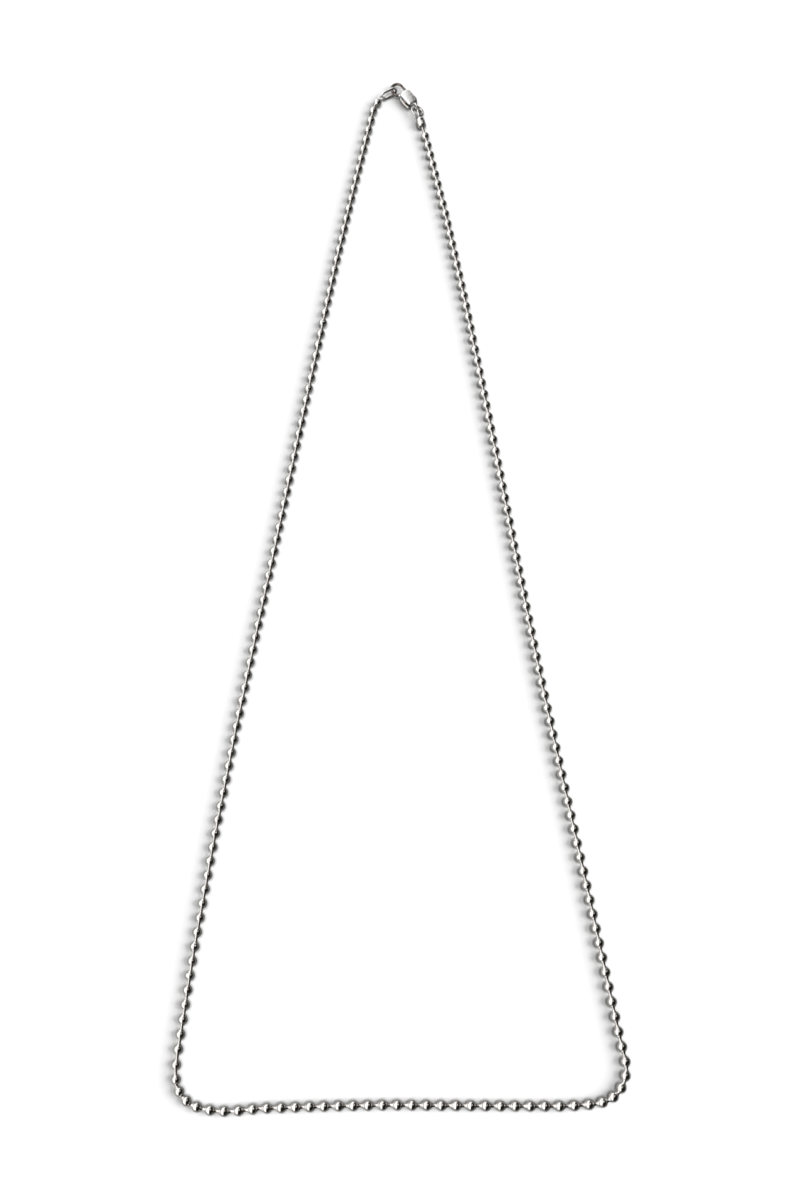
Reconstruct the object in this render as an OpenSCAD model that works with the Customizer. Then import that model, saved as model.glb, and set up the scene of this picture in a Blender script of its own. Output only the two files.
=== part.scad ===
// Ball chain necklace, laid out flat as a closed loop on a level surface.
// Millimetres. +X right, +Y towards the clasp, +Z up. The surface is Z = 0 and the origin is
// the middle of the necklace's outline on it.
// Along the loop: end loop, 193 balls on their rods, end cap, jump ring, clasp, oblong link,
// and so back to the end loop.

/* [Chain] */
// Diameter of a ball
ball_d = 2.4; // [2.1:0.1:2.7]
// Step from ball to ball along the straight stretches
pitch = 3.45; // [3.2:0.05:3.9]
// Diameter of the rod between two balls
rod_d = 0.85; // [0.6:0.05:1]
// Gap all round a rod where it passes into a ball or the cap
rod_gap = 0.15; // [0.1:0.01:0.25]

/* [End loop] */
// Wire thickness of the small loop on the first ball
loop_wire = 0.4; // [0.3:0.05:0.55]
// Play of the oblong link in the small loop, all round
loop_play = 0.2; // [0.15:0.01:0.3]
// Gap between the first ball and the small loop
loop_stand = 0.1; // [0.08:0.01:0.3]

/* [Oblong link] */
// Wire thickness of the oblong link
link_wire = 0.7; // [0.5:0.02:0.72]
// Length of the oblong link over all
link_length = 5.4; // [5.2:0.1:6.2]
// Width of the oblong link over all
link_width = 2.9; // [2.8:0.05:3.2]
// Lean of the oblong link from lying flat, degrees
link_lean = 76; // [70:1:80]
// Gap between the oblong link and the hook's spine, where it turns inside the hook
link_play = 0.22; // [0.2:0.01:0.25]

/* [Clasp body] */
// Thickness of the clasp
clasp_t = 2.4; // [2.3:0.1:2.8]
// Length of the clasp's body without hook and eye
body_length = 5.3; // [5.1:0.1:5.8]
// Width of the clasp's body
body_width = 3.3; // [3.2:0.1:3.6]
// Corner radius of the body, seen from above
body_corner = 1; // [0.8:0.05:1.2]
// Rounding of the body's upper and lower edges
body_round = 0.5; // [0.3:0.05:0.6]
// Thickness of the hook's bar
hook_bar = 0.82; // [0.7:0.02:0.84]
// Clear width inside the hook, from its tip to its spine
hook_inside = 2.46; // [2.3:0.02:2.7]
// Length of the hook's straight spine ahead of the body
hook_spine = 2.5; // [2.3:0.05:2.8]
// Wire thickness of the clasp's eye
eye_wire = 0.56; // [0.45:0.01:0.7]

/* [Clasp lever] */
// Thickness of the lever
lever_t = 0.8; // [0.7:0.05:0.9]
// Play of the lever in the body's slot, each side
lever_play = 0.1; // [0.06:0.01:0.15]
// Width of the lever's gate bar
gate_width = 0.5; // [0.4:0.02:0.56]
// Gap between the gate's end and the hook's tip
gate_gap = 0.2; // [0.15:0.01:0.35]
// Width of the lever's thumb arm
thumb_width = 0.5; // [0.4:0.02:0.6]
// Length of the lever's thumb arm
thumb_length = 3.9; // [3.4:0.1:4.2]
// How far the lever opens, degrees
lever_open = 15; // [10:1:15]

/* [Clasp pin] */
// Diameter of the lever's pin
pin_d = 0.7; // [0.5:0.05:0.8]
// Running gap of the lever on its pin
pin_play = 0.05; // [0.03:0.01:0.08]

/* [Jump ring] */
// Wire thickness of the jump ring
ring_wire = 0.65; // [0.5:0.05:0.7]
// Outer diameter of the jump ring
ring_d = 4.1; // [3.9:0.1:4.5]
// Lean of the jump ring from lying flat, degrees
ring_lean = 28; // [15:1:30]
// Play of the jump ring in the eyes that it passes through, all round
ring_play = 0.3; // [0.27:0.01:0.34]

/* [End cap] */
// Diameter of the end cap
cap_d = 2.5; // [2.4:0.1:3]
// Gap between the last ball and the end cap's mouth
cap_stand = 2.1; // [1.2:0.05:2.4]
// Length of the end cap without its eye
cap_length = 3.3; // [3.2:0.1:4.2]
// Rounding of the end cap's mouth
cap_round = 0.5; // [0.3:0.05:0.7]
// Rounding of the end cap's shoulder, at its eye
cap_shoulder = 1; // [0.6:0.05:1.1]
// Depth of the hole that takes the last rod
cap_hole = 1.6; // [1:0.1:2.4]
// Wire thickness of the end cap's eye
cap_wire = 0.6; // [0.4:0.05:0.6]
// How much longer than wide the end cap's eye is
cap_eye_stretch = 0.8; // [0.2:0.1:0.9]

/* [Hidden] */

// Middles of rods that the chain passes through, from the first ball round to the last. Between
// two of them it runs straight, with a whole number of balls.
ROUTE = [
    [-8, 139.3], [-9.8, 136.9], [-15.2, 110.1], [-20.3, 83.1], [-24.9, 55.9], [-29.5, 28.6], [-34, 1.2],
    [-38.6, -26.1], [-43.1, -53.3], [-47.2, -80.6], [-50.9, -108.1], [-53.5, -131.9], [-53.7, -135.5],
    [-53.2, -138.5], [-51.7, -140.8], [-49.5, -142.5], [-46.6, -143.4], [-43.1, -143.8], [-39.7, -143.8],
    [-36.2, -143.4], [-32.9, -143], [-15.8, -142.2], [-1.9, -141.7], [29.3, -141.4], [39.6, -141.2],
    [43, -140.9], [46.4, -140.6], [49.2, -139.8], [51.5, -138.2], [53, -135.8], [53.7, -132.9],
    [53.2, -129.6], [52.4, -126.4], [46.1, -92.8], [40.8, -65.6], [35.7, -38.6], [31, -11.6], [26.5, 15.5],
    [21.8, 42.9], [17, 70.3], [11.8, 97.2], [5.9, 124.1], [5.1, 127.1]
];
// The left-hand node ends with this stretch of the route, and the right-hand one starts after it
LEFT_STRETCHES = 22;

ball_r = ball_d / 2;
rod_r = rod_d / 2;
stretches = len(ROUTE) - 1;

function unit(v) = v / norm(v);
function angle_of(v) = atan2(v.y, v.x);
function along(angle) = [cos(angle), sin(angle)];
function left_of(v) = [-v.y, v.x];
function lifted(p, z) = [p.x, p.y, z];

// Balls on a stretch, and the middle of one of them
function ball_count(i) = max(1, round(norm(ROUTE[i + 1] - ROUTE[i]) / pitch));
function ball_at(i, k) = ROUTE[i] + (ROUTE[i + 1] - ROUTE[i]) * (k + 0.5) / ball_count(i);

// Both ends of the chain: the first and last balls, and the ways out of them
first_ball = ball_at(0, 0);
first_way = unit(ROUTE[0] - ROUTE[1]);
last_ball = ball_at(stretches - 1, ball_count(stretches - 1) - 1);
last_way = unit(ROUTE[stretches] - ROUTE[stretches - 1]);

// Small loop: its ring's centre-line radius, its middle, and how far its stem enters the ball
loop_r = link_wire / 2 + loop_play + loop_wire / 2;
loop_at = first_ball + first_way * (ball_r + loop_stand + loop_r + loop_wire / 2);
stem_in = 1;

// Heights above the surface
clasp_z = clasp_t / 2;
cap_z = cap_d / 2;
link_r = (link_width - link_wire) / 2;
link_z = link_wire / 2 + link_r * sin(link_lean);

// End cap, its eye and the jump ring, in line with the last ball
eye_sink = 0.25;
cap_eye_sink = 0.3;
cap_mouth = last_ball + last_way * (ball_r + cap_stand);
cap_eye_r = ring_wire / 2 + ring_play + cap_wire / 2;
cap_eye_at = cap_mouth + last_way * (cap_length + cap_eye_r + cap_wire / 2 - cap_eye_sink);
ring_r = (ring_d - ring_wire) / 2;
ring_at = cap_eye_at + last_way * ring_r;
clasp_eye_at = ring_at + last_way * ring_r;

// Clasp, in its own axes: X towards the hook's head, Y towards the spine, origin mid body
clasp_eye_r = ring_wire / 2 + ring_play + eye_wire / 2;
eye_x = -body_length / 2 - clasp_eye_r - eye_wire / 2 + eye_sink;
gate_y = -1;
spine_y = gate_y + hook_bar + hook_inside;
spine_ahead = 0.5;
spine_start = body_length / 2 + spine_ahead;
root_r = 0.6;
root_depth = 0.9;
root_cover = 0.12;
hook_root = [body_length / 2 - root_depth, body_width / 2 - root_r - root_cover];
head_r = (spine_y - gate_y) / 2;
head_x = body_length / 2 + hook_spine;
head_y = (spine_y + gate_y) / 2;

// Lever, closed: its pivot and hub, the gate's ends, and the thumb arm's middle, bow and root
pivot = [-0.5, -0.2];
hub_wall = 0.35;
hub_r = pin_d / 2 + pin_play + hub_wall;
gate_root = [body_length / 2, gate_y + gate_width / 2];
gate_end = head_x - gate_gap;
thumb_x = -0.6;
thumb_stand = 0.62;
thumb_at = [thumb_x, body_width / 2 + thumb_stand];
thumb_bow = 9;
thumb_end = thumb_at - [thumb_length / 2, thumb_length * thumb_length / 8 / thumb_bow];
thumb_root = [-0.9, 0.6];
pin_seat = 0.01;

// Room in plan round the lever as it opens, and how far a cutter runs past a surface
room = 0.15;
past = 1;

// Where a point of the closed lever goes as it opens
function opened(p) =
    let (way = along(lever_open))
    pivot + (p.x - pivot.x) * way + (p.y - pivot.y) * left_of(way);

// Where the oblong link turns inside the hook, and where that puts the clasp: the link and the
// clasp close the triangle between the small loop and the jump ring
hitch_back = 0.4;
hitch = [head_x - hitch_back, spine_y - hook_bar / 2 - link_play - link_wire / 2];
link_reach = link_length - link_wire;
clasp_reach = norm(hitch - [eye_x, 0]);
span = norm(clasp_eye_at - loop_at);
span_way = (clasp_eye_at - loop_at) / span;
foot = (link_reach * link_reach - clasp_reach * clasp_reach + span * span) / (2 * span);
rise = sqrt(max(0, link_reach * link_reach - foot * foot));
hitch_at = loop_at + span_way * foot + left_of(span_way) * rise;
clasp_turn = angle_of(hitch_at - clasp_eye_at) - angle_of(hitch - [eye_x, 0]);
clasp_at = clasp_eye_at - along(clasp_turn) * eye_x;
link_turn = angle_of(loop_at - hitch_at);

// Middle of the outline, which is set on the origin
all_balls = [for (i = [0:stretches - 1]) for (k = [0:ball_count(i) - 1]) ball_at(i, k)];
ball_xs = [for (b = all_balls) b.x];
ball_ys = [for (b = all_balls) b.y];
head_at = clasp_at + along(clasp_turn) * head_x + left_of(along(clasp_turn)) * head_y;
outline_x = (min(ball_xs) + max(ball_xs)) / 2;
outline_y = (min(ball_ys) - ball_r + head_at.y + head_r + hook_bar / 2) / 2;

round_fn = 48;
hull_fn = 32;
fine_fn = 360;

module placed() {
    translate([-outline_x, -outline_y, 0])
        children();
}

// A ring of round wire about Z, or the part of it that an angle names
module wire_ring(r, wire, angle = 360) {
    rotate_extrude(angle = angle, $fn = round_fn)
        translate([r, 0])
            circle(d = wire, $fn = round_fn);
}

// Two half rings about Z, stretched apart along X and joined by two straight sides
module long_ring(r, wire, stretch) {
    for (end = [0, 180])
        rotate(end) {
            translate([stretch / 2, 0, 0])
                rotate(-90)
                    wire_ring(r, wire, 180);
            bar([-stretch / 2, r, 0], [stretch / 2, r, 0], wire);
        }
}

// A round bar from one point to another
module bar(from, to, d) {
    way = to - from;
    translate(from)
        rotate([0, acos(way.z / norm(way)), atan2(way.y, way.x)])
            cylinder(h = norm(way), d = d, $fn = round_fn);
}

// One drilled ball, its hole along the stretch that it sits on
module ball(i, k) {
    way = ROUTE[i + 1] - ROUTE[i];
    translate(lifted(ball_at(i, k), ball_r))
        rotate([0, 90, angle_of(way)])
            difference() {
                sphere(d = ball_d, $fn = round_fn);
                cylinder(h = 2 * ball_d, d = rod_d + 2 * rod_gap, center = true, $fn = round_fn);
            }
}

module balls(from, to) {
    for (i = [from:to])
        for (k = [0:ball_count(i) - 1])
            ball(i, k);
}

module balls_left() {
    color("silver")
        placed()
            balls(0, LEFT_STRETCHES - 1);
}

module balls_right() {
    color("silver")
        placed()
            balls(LEFT_STRETCHES, stretches - 1);
}

// The rods as one run: it starts inside the first ball and ends inside the end cap
module rods() {
    sides = 8;
    start_gap = 0.1;
    end_gap = 0.3;
    start = lifted(first_ball - first_way * start_gap, ball_r);
    end = lifted(cap_mouth + last_way * (cap_hole - end_gap), cap_z);
    middles = [for (i = [1:stretches]) lifted(ROUTE[i], ball_r)];
    path = concat([start], middles, [lifted(cap_mouth, cap_z), end]);
    count = len(path);
    function side_way(i) =
        let (a = path[max(i - 1, 0)], b = path[min(i + 1, count - 1)])
        left_of(unit([b.x - a.x, b.y - a.y]));
    points = [
        for (i = [0:count - 1]) for (s = [0:sides - 1])
            let (turn = 360 * (s + 0.5) / sides, side = side_way(i))
            path[i] + [side.x * rod_r * cos(turn), side.y * rod_r * cos(turn), rod_r * sin(turn)]
    ];
    walls = [
        for (i = [0:count - 2]) for (s = [0:sides - 1])
            let (n = (s + 1) % sides)
            [i * sides + s, (i + 1) * sides + s, (i + 1) * sides + n, i * sides + n]
    ];
    start_face = [for (s = [0:sides - 1]) s];
    end_face = [for (s = [sides - 1:-1:0]) (count - 1) * sides + s];
    color("gray")
        placed()
            polyhedron(points = points, faces = concat(walls, [start_face, end_face]));
}

// A ring standing on edge along its way, leaned over about that way
module standing_ring(at, z, way, lean, r, wire) {
    translate(lifted(at, z))
        rotate(angle_of(way))
            rotate([90 + lean, 0, 0])
                wire_ring(r, wire);
}

module end_loop() {
    color("silver")
        placed() {
            standing_ring(loop_at, ball_r, first_way, link_lean, loop_r, loop_wire);
            bar(
                lifted(loop_at - first_way * (loop_r - loop_wire / 4), ball_r),
                lifted(first_ball + first_way * (ball_r - stem_in), ball_r),
                loop_wire
            );
        }
}

// The link, leaned over about its length
module oblong_link() {
    color("silver")
        placed()
            translate(lifted((hitch_at + loop_at) / 2, link_z))
                rotate(link_turn)
                    rotate([-link_lean, 0, 0])
                        long_ring(link_r, link_wire, link_reach - 2 * link_r);
}

module on_clasp() {
    placed()
        translate(lifted(clasp_at, clasp_z))
            rotate(clasp_turn)
                children();
}

// The body before it is slotted: four round-edged corner posts and all between them
module body_blank() {
    corner_x = body_length / 2 - body_corner;
    corner_y = body_width / 2 - body_corner;
    hull()
        for (x = [-corner_x, corner_x])
            for (y = [-corner_y, corner_y])
                translate([x, y, 0])
                    rotate_extrude($fn = hull_fn)
                        intersection() {
                            union() {
                                square([body_corner - body_round, clasp_t / 2]);
                                square([body_corner, clasp_t / 2 - body_round]);
                                translate([body_corner - body_round, clasp_t / 2 - body_round])
                                    circle(r = body_round, $fn = hull_fn);
                                mirror([0, 1]) {
                                    square([body_corner - body_round, clasp_t / 2]);
                                    square([body_corner, clasp_t / 2 - body_round]);
                                    translate([body_corner - body_round, clasp_t / 2 - body_round])
                                        circle(r = body_round, $fn = hull_fn);
                                }
                            }
                            translate([0, -clasp_t])
                                square([body_corner, 2 * clasp_t]);
                        }
}

// Room for the lever between the body's two plates: it is open at the gate and along the thumb
// arm, and leaves a web to the rear of the open lever and one ahead of it
module lever_room() {
    front = body_length / 2 + past;
    side = body_width / 2 + past;
    front_web_x = 1;
    rear_web_x = opened([thumb_root[0], thumb_at.y]).x - room;
    rear_web_y = opened(thumb_end).y - thumb_width / 2 - room;
    over_hub = opened([pivot.x, pivot.y + hub_r]) + [0, room];
    over_gate = opened(gate_root) + [0, room];
    linear_extrude(height = lever_t + 2 * lever_play, center = true) {
        translate(pivot)
            circle(r = hub_r + room, $fn = round_fn);
        polygon([
            [pivot.x, pivot.y - hub_r], [front_web_x, -side], [front, -side], [front, over_gate.y],
            over_gate, over_hub
        ]);
        polygon([
            [front_web_x, 0], [front_web_x, side], [-front, side], [-front, rear_web_y],
            [rear_web_x, rear_web_y], [rear_web_x, pivot.y], pivot
        ]);
    }
}

module clasp_body() {
    color("gainsboro")
        on_clasp() {
            difference() {
                body_blank();
                lever_room();
                translate(pivot)
                    cylinder(h = 2 * clasp_t, d = pin_d + 2 * pin_seat, center = true, $fn = round_fn);
            }
            // root and spine of the hook
            hull() {
                translate(lifted(hook_root, 0))
                    sphere(r = root_r, $fn = hull_fn);
                translate([spine_start, spine_y, 0])
                    sphere(d = hook_bar, $fn = hull_fn);
            }
            bar([spine_start, spine_y, 0], [head_x, spine_y, 0], hook_bar);
            // head of the hook, down to its tip
            translate([head_x, head_y, 0])
                rotate(-90)
                    wire_ring(head_r, hook_bar, 180);
            // eye
            translate([eye_x, 0, 0])
                rotate([90, 0, 0])
                    wire_ring(clasp_eye_r, eye_wire);
        }
}

module clasp_pin() {
    color("gray")
        on_clasp()
            translate(pivot)
                cylinder(h = clasp_t, d = pin_d, center = true, $fn = round_fn);
}

// The thumb arm: a bowed bar with round ends, beside the body
module thumb_arm() {
    half_turn = thumb_length / thumb_bow * 90 / PI;
    translate([thumb_at.x, thumb_at.y - thumb_bow, 0]) {
        rotate(90 - half_turn)
            rotate_extrude(angle = 2 * half_turn, $fn = fine_fn)
                translate([thumb_bow - thumb_width / 2, -lever_t / 2])
                    square([thumb_width, lever_t]);
        for (turn = [-half_turn, half_turn])
            rotate(90 + turn)
                translate([thumb_bow, 0, 0])
                    cylinder(h = lever_t, d = thumb_width, center = true, $fn = round_fn);
    }
}

module clasp_lever() {
    color("lightgray")
        on_clasp()
            difference() {
                union() {
                    linear_extrude(height = lever_t, center = true) {
                        translate(pivot)
                            circle(r = hub_r, $fn = round_fn);
                        polygon([
                            [pivot.x, pivot.y - hub_r], [gate_root.x, gate_root.y - gate_width],
                            [gate_end, gate_root.y - gate_width], [gate_end, gate_root.y],
                            gate_root, [pivot.x, pivot.y + hub_r]
                        ]);
                        polygon([
                            [pivot.x - hub_r, pivot.y], [pivot.x + hub_r, pivot.y],
                            [thumb_root[1], thumb_at.y], [thumb_root[0], thumb_at.y]
                        ]);
                    }
                    thumb_arm();
                }
                translate(pivot)
                    cylinder(h = 2 * clasp_t, d = pin_d + 2 * pin_play, center = true, $fn = round_fn);
            }
}

module jump_ring() {
    color("silver")
        placed()
            translate(lifted(ring_at, clasp_z))
                rotate(angle_of(last_way))
                    rotate([ring_lean, 0, 0])
                        wire_ring(ring_r, ring_wire);
}

// The cap's barrel, from its mouth at Z = 0 to its shoulder
module cap_barrel() {
    half = cap_d / 2;
    rotate_extrude($fn = round_fn)
        intersection() {
            union() {
                translate([0, cap_round])
                    square([half, cap_length - cap_round - cap_shoulder]);
                square([half - cap_round, cap_length - cap_shoulder]);
                translate([half - cap_round, cap_round])
                    circle(r = cap_round, $fn = round_fn);
                translate([half - cap_shoulder, cap_length - cap_shoulder])
                    circle(r = cap_shoulder, $fn = round_fn);
                square([half - cap_shoulder, cap_length]);
            }
            square([half, cap_length]);
        }
}

// The barrel's start line is turned clear of the eye, so that their join stays one solid
module end_cap() {
    seam_turn = 25;
    color("silver")
        placed() {
            translate(lifted(cap_mouth, cap_z))
                rotate([0, 90, angle_of(last_way)])
                    rotate(seam_turn)
                        difference() {
                            cap_barrel();
                            translate([0, 0, -past])
                                cylinder(h = cap_hole + past, d = rod_d + 2 * rod_gap, $fn = round_fn);
                        }
            translate(lifted(cap_eye_at + last_way * cap_eye_stretch / 2, cap_z))
                rotate([90, 0, angle_of(last_way)])
                    long_ring(cap_eye_r, cap_wire, cap_eye_stretch);
        }
}

balls_left();
balls_right();
rods();
end_loop();
oblong_link();
clasp_body();
clasp_pin();
clasp_lever();
jump_ring();
end_cap();
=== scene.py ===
import math
import random

import bpy
import numpy as np
from mathutils import Matrix, Vector


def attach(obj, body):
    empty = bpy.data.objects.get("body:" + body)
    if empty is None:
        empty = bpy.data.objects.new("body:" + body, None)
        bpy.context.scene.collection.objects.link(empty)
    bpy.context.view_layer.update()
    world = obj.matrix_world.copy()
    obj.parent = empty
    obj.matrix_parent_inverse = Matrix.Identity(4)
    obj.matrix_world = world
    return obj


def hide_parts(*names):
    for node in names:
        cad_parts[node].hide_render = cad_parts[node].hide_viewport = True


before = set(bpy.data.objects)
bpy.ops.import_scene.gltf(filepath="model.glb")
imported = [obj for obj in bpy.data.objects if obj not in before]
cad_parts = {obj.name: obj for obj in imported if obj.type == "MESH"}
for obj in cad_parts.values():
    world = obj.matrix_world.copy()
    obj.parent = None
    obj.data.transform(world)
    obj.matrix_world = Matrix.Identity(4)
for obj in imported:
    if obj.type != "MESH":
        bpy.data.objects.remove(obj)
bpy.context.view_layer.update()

NECKLACE = "necklace"
LEVER = "lever"
MM = 0.001

# Sizes of the necklace in millimetres, as in the part's source
BALL_R = 1.2
PITCH = 3.45
ROD_R = 0.425
HOLE_R = 0.575
LOOP_WIRE = 0.4
LOOP_PLAY = 0.2
LOOP_STAND = 0.1
LINK_WIRE = 0.7
LINK_LENGTH = 5.4
LINK_WIDTH = 2.9
LINK_LEAN = math.radians(76)
LINK_PLAY = 0.22
CLASP_T = 2.4
BODY_LENGTH = 5.3
BODY_WIDTH = 3.3
BODY_CORNER = 1.0
BODY_ROUND = 0.5
HOOK_BAR = 0.82
HOOK_INSIDE = 2.46
HOOK_SPINE = 2.5
EYE_WIRE = 0.56
LEVER_T = 0.8
LEVER_PLAY = 0.1
GATE_WIDTH = 0.5
GATE_GAP = 0.2
THUMB_WIDTH = 0.5
THUMB_LENGTH = 3.9
THUMB_BOW = 9.0
LEVER_OPEN = math.radians(15)
PIN_R = 0.35
PIN_PLAY = 0.05
RING_WIRE = 0.65
RING_D = 4.1
RING_LEAN = math.radians(28)
RING_PLAY = 0.3
CAP_D = 2.5
CAP_STAND = 2.1
CAP_LENGTH = 3.3
CAP_ROUND = 0.5
CAP_SHOULDER = 1.0
CAP_HOLE = 1.6
CAP_WIRE = 0.6
CAP_EYE_STRETCH = 0.8
EYE_SINK = 0.25
CAP_EYE_SINK = 0.3
GATE_Y = -1.0
HITCH_BACK = 0.4

# Middles of rods that the chain passes through, as in the part's source
ROUTE = [
    (-8, 139.3), (-9.8, 136.9), (-15.2, 110.1), (-20.3, 83.1), (-24.9, 55.9), (-29.5, 28.6), (-34, 1.2),
    (-38.6, -26.1), (-43.1, -53.3), (-47.2, -80.6), (-50.9, -108.1), (-53.5, -131.9), (-53.7, -135.5),
    (-53.2, -138.5), (-51.7, -140.8), (-49.5, -142.5), (-46.6, -143.4), (-43.1, -143.8), (-39.7, -143.8),
    (-36.2, -143.4), (-32.9, -143), (-15.8, -142.2), (-1.9, -141.7), (29.3, -141.4), (39.6, -141.2),
    (43, -140.9), (46.4, -140.6), (49.2, -139.8), (51.5, -138.2), (53, -135.8), (53.7, -132.9),
    (53.2, -129.6), (52.4, -126.4), (46.1, -92.8), (40.8, -65.6), (35.7, -38.6), (31, -11.6), (26.5, 15.5),
    (21.8, 42.9), (17, 70.3), (11.8, 97.2), (5.9, 124.1), (5.1, 127.1),
]
LEFT_STRETCHES = 22


def along(angle):
    return Vector((math.cos(angle), math.sin(angle)))


def left_of(v):
    return Vector((-v.y, v.x))


def angle_of(v):
    return math.atan2(v.y, v.x)


def chain_balls():
    """Every ball in order: its middle, the way of its hole, and the stretch that it is on."""
    found = []
    for i, (a, b) in enumerate(zip(ROUTE, ROUTE[1:])):
        a, b = Vector(a), Vector(b)
        count = max(1, round((b - a).length / PITCH))
        for k in range(count):
            found.append((a.lerp(b, (k + 0.5) / count), (b - a).normalized(), i))
    return found


BALLS = chain_balls()

# Both ends of the chain and what hangs on them, by the same rules as in the part's source
first_way = (Vector(ROUTE[0]) - Vector(ROUTE[1])).normalized()
last_way = (Vector(ROUTE[-1]) - Vector(ROUTE[-2])).normalized()
loop_r = (LINK_WIRE + LOOP_WIRE) / 2 + LOOP_PLAY
loop_at = BALLS[0][0] + first_way * (BALL_R + LOOP_STAND + loop_r + LOOP_WIRE / 2)
cap_mouth = BALLS[-1][0] + last_way * (BALL_R + CAP_STAND)
cap_eye_r = (RING_WIRE + CAP_WIRE) / 2 + RING_PLAY
cap_eye_x = CAP_LENGTH + cap_eye_r + CAP_WIRE / 2 - CAP_EYE_SINK
ring_r = (RING_D - RING_WIRE) / 2
ring_at = cap_mouth + last_way * (cap_eye_x + ring_r)
clasp_eye_at = ring_at + last_way * ring_r
clasp_eye_r = (RING_WIRE + EYE_WIRE) / 2 + RING_PLAY
eye_x = -BODY_LENGTH / 2 - clasp_eye_r - EYE_WIRE / 2 + EYE_SINK
spine_y = GATE_Y + HOOK_BAR + HOOK_INSIDE
head_x = BODY_LENGTH / 2 + HOOK_SPINE
head_y = (spine_y + GATE_Y) / 2
head_r = (spine_y - GATE_Y) / 2
link_r = (LINK_WIDTH - LINK_WIRE) / 2
link_z = LINK_WIRE / 2 + link_r * math.sin(LINK_LEAN)
link_reach = LINK_LENGTH - LINK_WIRE
hitch = Vector((head_x - HITCH_BACK, spine_y - HOOK_BAR / 2 - LINK_PLAY - LINK_WIRE / 2))
clasp_reach = (hitch - Vector((eye_x, 0))).length
span = clasp_eye_at - loop_at
foot = (link_reach ** 2 - clasp_reach ** 2 + span.length ** 2) / (2 * span.length)
rise = math.sqrt(link_reach ** 2 - foot ** 2)
hitch_at = loop_at + span.normalized() * foot + left_of(span.normalized()) * rise
clasp_turn = angle_of(hitch_at - clasp_eye_at) - angle_of(hitch - Vector((eye_x, 0)))
clasp_at = clasp_eye_at - along(clasp_turn) * eye_x
head_at = clasp_at + along(clasp_turn) * head_x + left_of(along(clasp_turn)) * head_y
xs = [at.x for at, _, _ in BALLS]
lowest_y = min(at.y for at, _, _ in BALLS) - BALL_R
highest_y = head_at.y + head_r + HOOK_BAR / 2
MIDDLE = Vector(((min(xs) + max(xs)) / 2, (lowest_y + highest_y) / 2))


def stand(at, z, way, lean=0.0):
    """From a piece's own axes, in millimetres, to the row frame: X lies along way, and Y and Z lean over
    about it."""
    p = at - MIDDLE
    turn = Matrix.Rotation(angle_of(way), 4, "Z") @ Matrix.Rotation(lean, 4, "X")
    return Matrix.Translation((p.x, p.y, z)) @ turn


# Camera: at the photograph's height over the necklace and its turn, found from the balls' steps. The lens,
# the sensor and the point that it looks at are in millimetres, its distance and clipping in metres
LENS = 34.87
SENSOR = 36
DISTANCE = 0.3089
TILT = math.radians(16.28)
ROLL = math.radians(-13.5)
AIM = Vector((-0.79, -17.64)) - MIDDLE
CLIP = (0.01, 20)
away = Vector((math.sin(ROLL), math.cos(ROLL), 0))
level = Vector((math.cos(ROLL), -math.sin(ROLL), 0))
view_way = away * math.sin(TILT) - Vector((0, 0, math.cos(TILT)))
view_up = away * math.cos(TILT) + Vector((0, 0, math.sin(TILT)))
cam_right = level * math.cos(ROLL) + view_up * math.sin(ROLL)
cam_up = view_up * math.cos(ROLL) - level * math.sin(ROLL)


def make_camera():
    data = bpy.data.cameras.new("camera")
    data.lens = LENS
    data.sensor_width = SENSOR
    data.sensor_fit = "AUTO"
    data.clip_start, data.clip_end = CLIP
    cam = bpy.data.objects.new("camera", data)
    turn = Matrix((cam_right, cam_up, -view_way)).transposed().to_4x4()
    cam.matrix_world = Matrix.Translation(Vector((AIM.x * MM, AIM.y * MM, 0)) - view_way * DISTANCE) @ turn
    bpy.context.scene.collection.objects.link(cam)
    bpy.context.scene.camera = cam


# Materials


def new_material(name):
    material = bpy.data.materials.new(name)
    material.use_nodes = True
    nodes = material.node_tree.nodes
    return material, nodes, material.node_tree.links, nodes["Principled BSDF"]


def noise(nodes, links, coords, scale, detail=3.0, stretch=(1, 1, 1), turn=0.0):
    """Noise from 0 to 1 whose scale counts features to the millimetre, turned and stretched if asked."""
    mapping = nodes.new("ShaderNodeMapping")
    mapping.vector_type = "TEXTURE"
    mapping.inputs["Rotation"].default_value = (0, 0, turn)
    mapping.inputs["Scale"].default_value = [MM / s for s in stretch]
    links.new(coords.outputs["Object"], mapping.inputs["Vector"])
    texture = nodes.new("ShaderNodeTexNoise")
    texture.inputs["Scale"].default_value = scale
    texture.inputs["Detail"].default_value = detail
    links.new(mapping.outputs["Vector"], texture.inputs["Vector"])
    return texture.outputs["Fac"]


def spread(nodes, links, source, low, high, to_low, to_high):
    """A number that follows source from low to high, taken to another range."""
    ramp = nodes.new("ShaderNodeMapRange")
    ramp.inputs["From Min"].default_value = low
    ramp.inputs["From Max"].default_value = high
    ramp.inputs["To Min"].default_value = to_low
    ramp.inputs["To Max"].default_value = to_high
    links.new(source, ramp.inputs["Value"])
    return ramp.outputs["Result"]


def mixed(nodes, links, share, first, second):
    """A colour between two, each one either a colour or another node's result."""
    node = nodes.new("ShaderNodeMix")
    node.data_type = "RGBA"
    links.new(share, node.inputs["Factor"])
    for name, value in (("A", first), ("B", second)):
        if isinstance(value, tuple):
            node.inputs[name].default_value = (*value, 1)
        else:
            links.new(value, node.inputs[name])
    return node.outputs["Result"]


def calculate(nodes, links, operation, *values):
    """A maths node on one to three values, each a number or another node's result."""
    node = nodes.new("ShaderNodeMath")
    node.operation = operation
    for socket, value in zip(node.inputs, values):
        if isinstance(value, (int, float)):
            socket.default_value = value
        else:
            links.new(value, socket)
    return node.outputs["Value"]


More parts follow.
